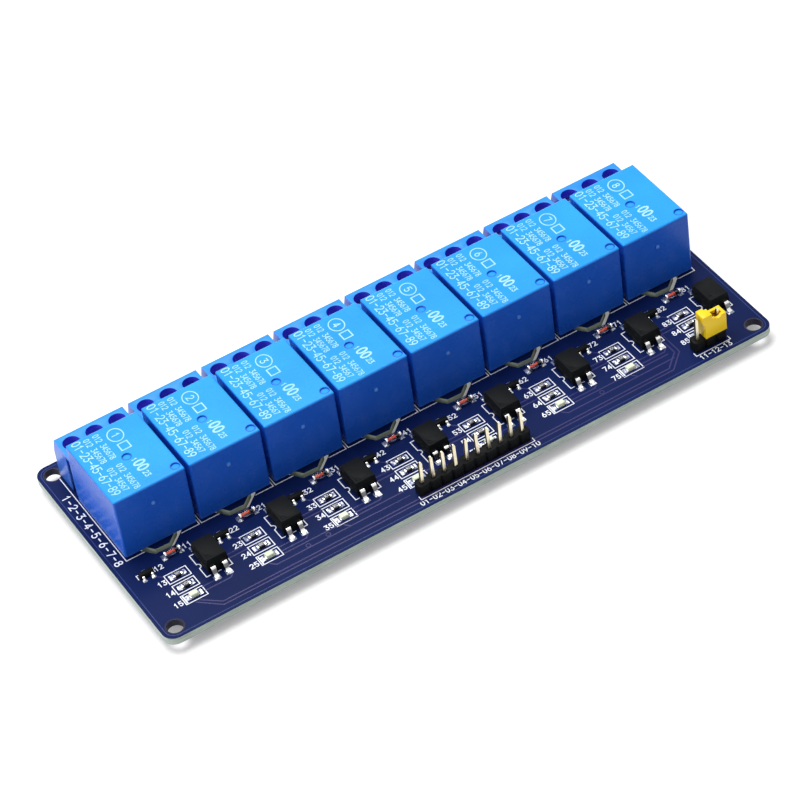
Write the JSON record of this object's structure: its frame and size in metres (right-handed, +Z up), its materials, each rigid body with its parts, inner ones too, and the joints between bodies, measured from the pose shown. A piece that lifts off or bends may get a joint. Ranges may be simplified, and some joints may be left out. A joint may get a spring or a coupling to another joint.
{
  "type": "relay module board",
  "caption": "Long circuit board with a row of sealed cube relays, screw terminals behind them, small driver parts in front and pin headers along the front edge.",
  "frame": {"origin": "centre of the four mounting holes on the board's underside", "axes": "+X along the board towards the power header, +Y from the pin headers to the screw terminals, +Z up out of the component side"},
  "size_m": [0.138, 0.056, 0.0187],
  "materials": {
    "solder_mask": "deep blue solder mask over glass-fibre laminate",
    "white_ink": "white legend ink",
    "solder": "bright solder",
    "relay_cover_plastic": "sky-blue moulded cover",
    "pale_ink": "pale printed ink",
    "relay_base_plastic": "dark blue moulded base",
    "bobbin_plastic": "natural moulded plastic",
    "enamelled_copper": "enamelled copper wire",
    "relay_iron": "bare soft iron",
    "tinned_brass": "tinned brass blade",
    "terminal_plastic": "blue moulded terminal body",
    "plated_steel": "zinc-plated steel",
    "black_epoxy": "black moulded epoxy",
    "tinned_lead": "bright tinned lead",
    "diode_glass": "red-orange glass",
    "resistor_ceramic": "black glaze on ceramic",
    "lamp_resin": "milky clear resin",
    "black_nylon": "black moulded strip",
    "gold_flash": "thin gold flash",
    "jumper_plastic": "yellow moulded cap",
    "clip_brass": "phosphor bronze spring"
  },
  "bodies": {
    "board": {"circuit_board": "solder_mask", "silkscreen": "white_ink", "solder_pads": "solder", "solder_joints": "solder", "relay_covers": "relay_cover_plastic", "cover_print": "pale_ink", "relay_bases": "relay_base_plastic", "coil_bobbins": "bobbin_plastic", "coil_windings": "enamelled_copper", "relay_cores": "relay_iron", "relay_yokes": "relay_iron", "relay_pins": "tinned_brass", "terminal_housings": "terminal_plastic", "terminal_cages": "plated_steel", "terminal_legs": "tinned_brass", "optocoupler_bodies": "black_epoxy", "optocoupler_leads": "tinned_lead", "transistor_bodies": "black_epoxy", "transistor_leads": "tinned_lead", "diode_bodies": "diode_glass", "chip_end_caps": "tinned_lead", "resistor_bodies": "resistor_ceramic", "led_bodies": "lamp_resin", "header_strips": "black_nylon", "header_pins": "gold_flash"},
    "jumper": {"jumper_shell": "jumper_plastic", "jumper_clip": "clip_brass"},
    "armature_1": {"armature_1": "relay_iron"},
    "armature_2": {"armature_2": "relay_iron"},
    "armature_3": {"armature_3": "relay_iron"},
    "armature_4": {"armature_4": "relay_iron"},
    "armature_5": {"armature_5": "relay_iron"},
    "armature_6": {"armature_6": "relay_iron"},
    "armature_7": {"armature_7": "relay_iron"},
    "armature_8": {"armature_8": "relay_iron"},
    "terminal_screw_1_1": {"terminal_screw_1_1": "plated_steel"},
    "terminal_screw_1_2": {"terminal_screw_1_2": "plated_steel"},
    "terminal_screw_1_3": {"terminal_screw_1_3": "plated_steel"},
    "terminal_screw_2_1": {"terminal_screw_2_1": "plated_steel"},
    "terminal_screw_2_2": {"terminal_screw_2_2": "plated_steel"},
    "terminal_screw_2_3": {"terminal_screw_2_3": "plated_steel"},
    "terminal_screw_3_1": {"terminal_screw_3_1": "plated_steel"},
    "terminal_screw_3_2": {"terminal_screw_3_2": "plated_steel"},
    "terminal_screw_3_3": {"terminal_screw_3_3": "plated_steel"},
    "terminal_screw_4_1": {"terminal_screw_4_1": "plated_steel"},
    "terminal_screw_4_2": {"terminal_screw_4_2": "plated_steel"},
    "terminal_screw_4_3": {"terminal_screw_4_3": "plated_steel"},
    "terminal_screw_5_1": {"terminal_screw_5_1": "plated_steel"},
    "terminal_screw_5_2": {"terminal_screw_5_2": "plated_steel"},
    "terminal_screw_5_3": {"terminal_screw_5_3": "plated_steel"},
    "terminal_screw_6_1": {"terminal_screw_6_1": "plated_steel"},
    "terminal_screw_6_2": {"terminal_screw_6_2": "plated_steel"},
    "terminal_screw_6_3": {"terminal_screw_6_3": "plated_steel"},
    "terminal_screw_7_1": {"terminal_screw_7_1": "plated_steel"},
    "terminal_screw_7_2": {"terminal_screw_7_2": "plated_steel"},
    "terminal_screw_7_3": {"terminal_screw_7_3": "plated_steel"},
    "terminal_screw_8_1": {"terminal_screw_8_1": "plated_steel"},
    "terminal_screw_8_2": {"terminal_screw_8_2": "plated_steel"},
    "terminal_screw_8_3": {"terminal_screw_8_3": "plated_steel"}
  },
  "joints": [
    {"name": "jumper_pull", "type": "slide", "parent": "board", "child": "jumper", "axis": [0, 0, 1], "range_m": [0, 0.006]},
    {"name": "armature_1_swing", "type": "hinge", "parent": "board", "child": "armature_1", "pos_m": [-0.0574, -0.0018, 0.0132], "axis": [1, 0, 0], "range_deg": [-3, 0], "stiffness_Nm_per_rad": 0.002, "springref_deg": 17.19},
    {"name": "armature_2_swing", "type": "hinge", "parent": "board", "child": "armature_2", "pos_m": [-0.0409, -0.0018, 0.0132], "axis": [1, 0, 0], "range_deg": [-3, 0], "stiffness_Nm_per_rad": 0.002, "springref_deg": 17.19},
    {"name": "armature_3_swing", "type": "hinge", "parent": "board", "child": "armature_3", "pos_m": [-0.0244, -0.0018, 0.0132], "axis": [1, 0, 0], "range_deg": [-3, 0], "stiffness_Nm_per_rad": 0.002, "springref_deg": 17.19},
    {"name": "armature_4_swing", "type": "hinge", "parent": "board", "child": "armature_4", "pos_m": [-0.0079, -0.0018, 0.0132], "axis": [1, 0, 0], "range_deg": [-3, 0], "stiffness_Nm_per_rad": 0.002, "springref_deg": 17.19},
    {"name": "armature_5_swing", "type": "hinge", "parent": "board", "child": "armature_5", "pos_m": [0.0086, -0.0018, 0.0132], "axis": [1, 0, 0], "range_deg": [-3, 0], "stiffness_Nm_per_rad": 0.002, "springref_deg": 17.19},
    {"name": "armature_6_swing", "type": "hinge", "parent": "board", "child": "armature_6", "pos_m": [0.0251, -0.0018, 0.0132], "axis": [1, 0, 0], "range_deg": [-3, 0], "stiffness_Nm_per_rad": 0.002, "springref_deg": 17.19},
    {"name": "armature_7_swing", "type": "hinge", "parent": "board", "child": "armature_7", "pos_m": [0.0416, -0.0018, 0.0132], "axis": [1, 0, 0], "range_deg": [-3, 0], "stiffness_Nm_per_rad": 0.002, "springref_deg": 17.19},
    {"name": "armature_8_swing", "type": "hinge", "parent": "board", "child": "armature_8", "pos_m": [0.0581, -0.0018, 0.0132], "axis": [1, 0, 0], "range_deg": [-3, 0], "stiffness_Nm_per_rad": 0.002, "springref_deg": 17.19},
    {"name": "terminal_screw_1_1_turn", "type": "hinge", "parent": "board", "child": "terminal_screw_1_1", "pos_m": [-0.06218, 0.0204, 0.0084], "axis": [0, 0, 1], "range_deg": [-432, 648]},
    {"name": "terminal_screw_1_2_turn", "type": "hinge", "parent": "board", "child": "terminal_screw_1_2", "pos_m": [-0.0571, 0.0204, 0.0084], "axis": [0, 0, 1], "range_deg": [-432, 648]},
    {"name": "terminal_screw_1_3_turn", "type": "hinge", "parent": "board", "child": "terminal_screw_1_3", "pos_m": [-0.05202, 0.0204, 0.0084], "axis": [0, 0, 1], "range_deg": [-432, 648]},
    {"name": "terminal_screw_2_1_turn", "type": "hinge", "parent": "board", "child": "terminal_screw_2_1", "pos_m": [-0.04568, 0.0204, 0.0084], "axis": [0, 0, 1], "range_deg": [-432, 648]},
    {"name": "terminal_screw_2_2_turn", "type": "hinge", "parent": "board", "child": "terminal_screw_2_2", "pos_m": [-0.0406, 0.0204, 0.0084], "axis": [0, 0, 1], "range_deg": [-432, 648]},
    {"name": "terminal_screw_2_3_turn", "type": "hinge", "parent": "board", "child": "terminal_screw_2_3", "pos_m": [-0.03552, 0.0204, 0.0084], "axis": [0, 0, 1], "range_deg": [-432, 648]},
    {"name": "terminal_screw_3_1_turn", "type": "hinge", "parent": "board", "child": "terminal_screw_3_1", "pos_m": [-0.02918, 0.0204, 0.0084], "axis": [0, 0, 1], "range_deg": [-432, 648]},
    {"name": "terminal_screw_3_2_turn", "type": "hinge", "parent": "board", "child": "terminal_screw_3_2", "pos_m": [-0.0241, 0.0204, 0.0084], "axis": [0, 0, 1], "range_deg": [-432, 648]},
    {"name": "terminal_screw_3_3_turn", "type": "hinge", "parent": "board", "child": "terminal_screw_3_3", "pos_m": [-0.01902, 0.0204, 0.0084], "axis": [0, 0, 1], "range_deg": [-432, 648]},
    {"name": "terminal_screw_4_1_turn", "type": "hinge", "parent": "board", "child": "terminal_screw_4_1", "pos_m": [-0.01268, 0.0204, 0.0084], "axis": [0, 0, 1], "range_deg": [-432, 648]},
    {"name": "terminal_screw_4_2_turn", "type": "hinge", "parent": "board", "child": "terminal_screw_4_2", "pos_m": [-0.0076, 0.0204, 0.0084], "axis": [0, 0, 1], "range_deg": [-432, 648]},
    {"name": "terminal_screw_4_3_turn", "type": "hinge", "parent": "board", "child": "terminal_screw_4_3", "pos_m": [-0.00252, 0.0204, 0.0084], "axis": [0, 0, 1], "range_deg": [-432, 648]},
    {"name": "terminal_screw_5_1_turn", "type": "hinge", "parent": "board", "child": "terminal_screw_5_1", "pos_m": [0.00382, 0.0204, 0.0084], "axis": [0, 0, 1], "range_deg": [-432, 648]},
    {"name": "terminal_screw_5_2_turn", "type": "hinge", "parent": "board", "child": "terminal_screw_5_2", "pos_m": [0.0089, 0.0204, 0.0084], "axis": [0, 0, 1], "range_deg": [-432, 648]},
    {"name": "terminal_screw_5_3_turn", "type": "hinge", "parent": "board", "child": "terminal_screw_5_3", "pos_m": [0.01398, 0.0204, 0.0084], "axis": [0, 0, 1], "range_deg": [-432, 648]},
    {"name": "terminal_screw_6_1_turn", "type": "hinge", "parent": "board", "child": "terminal_screw_6_1", "pos_m": [0.02032, 0.0204, 0.0084], "axis": [0, 0, 1], "range_deg": [-432, 648]},
    {"name": "terminal_screw_6_2_turn", "type": "hinge", "parent": "board", "child": "terminal_screw_6_2", "pos_m": [0.0254, 0.0204, 0.0084], "axis": [0, 0, 1], "range_deg": [-432, 648]},
    {"name": "terminal_screw_6_3_turn", "type": "hinge", "parent": "board", "child": "terminal_screw_6_3", "pos_m": [0.03048, 0.0204, 0.0084], "axis": [0, 0, 1], "range_deg": [-432, 648]},
    {"name": "terminal_screw_7_1_turn", "type": "hinge", "parent": "board", "child": "terminal_screw_7_1", "pos_m": [0.03682, 0.0204, 0.0084], "axis": [0, 0, 1], "range_deg": [-432, 648]},
    {"name": "terminal_screw_7_2_turn", "type": "hinge", "parent": "board", "child": "terminal_screw_7_2", "pos_m": [0.0419, 0.0204, 0.0084], "axis": [0, 0, 1], "range_deg": [-432, 648]},
    {"name": "terminal_screw_7_3_turn", "type": "hinge", "parent": "board", "child": "terminal_screw_7_3", "pos_m": [0.04698, 0.0204, 0.0084], "axis": [0, 0, 1], "range_deg": [-432, 648]},
    {"name": "terminal_screw_8_1_turn", "type": "hinge", "parent": "board", "child": "terminal_screw_8_1", "pos_m": [0.05332, 0.0204, 0.0084], "axis": [0, 0, 1], "range_deg": [-432, 648]},
    {"name": "terminal_screw_8_2_turn", "type": "hinge", "parent": "board", "child": "terminal_screw_8_2", "pos_m": [0.0584, 0.0204, 0.0084], "axis": [0, 0, 1], "range_deg": [-432, 648]},
    {"name": "terminal_screw_8_3_turn", "type": "hinge", "parent": "board", "child": "terminal_screw_8_3", "pos_m": [0.06348, 0.0204, 0.0084], "axis": [0, 0, 1], "range_deg": [-432, 648]}
  ]
}
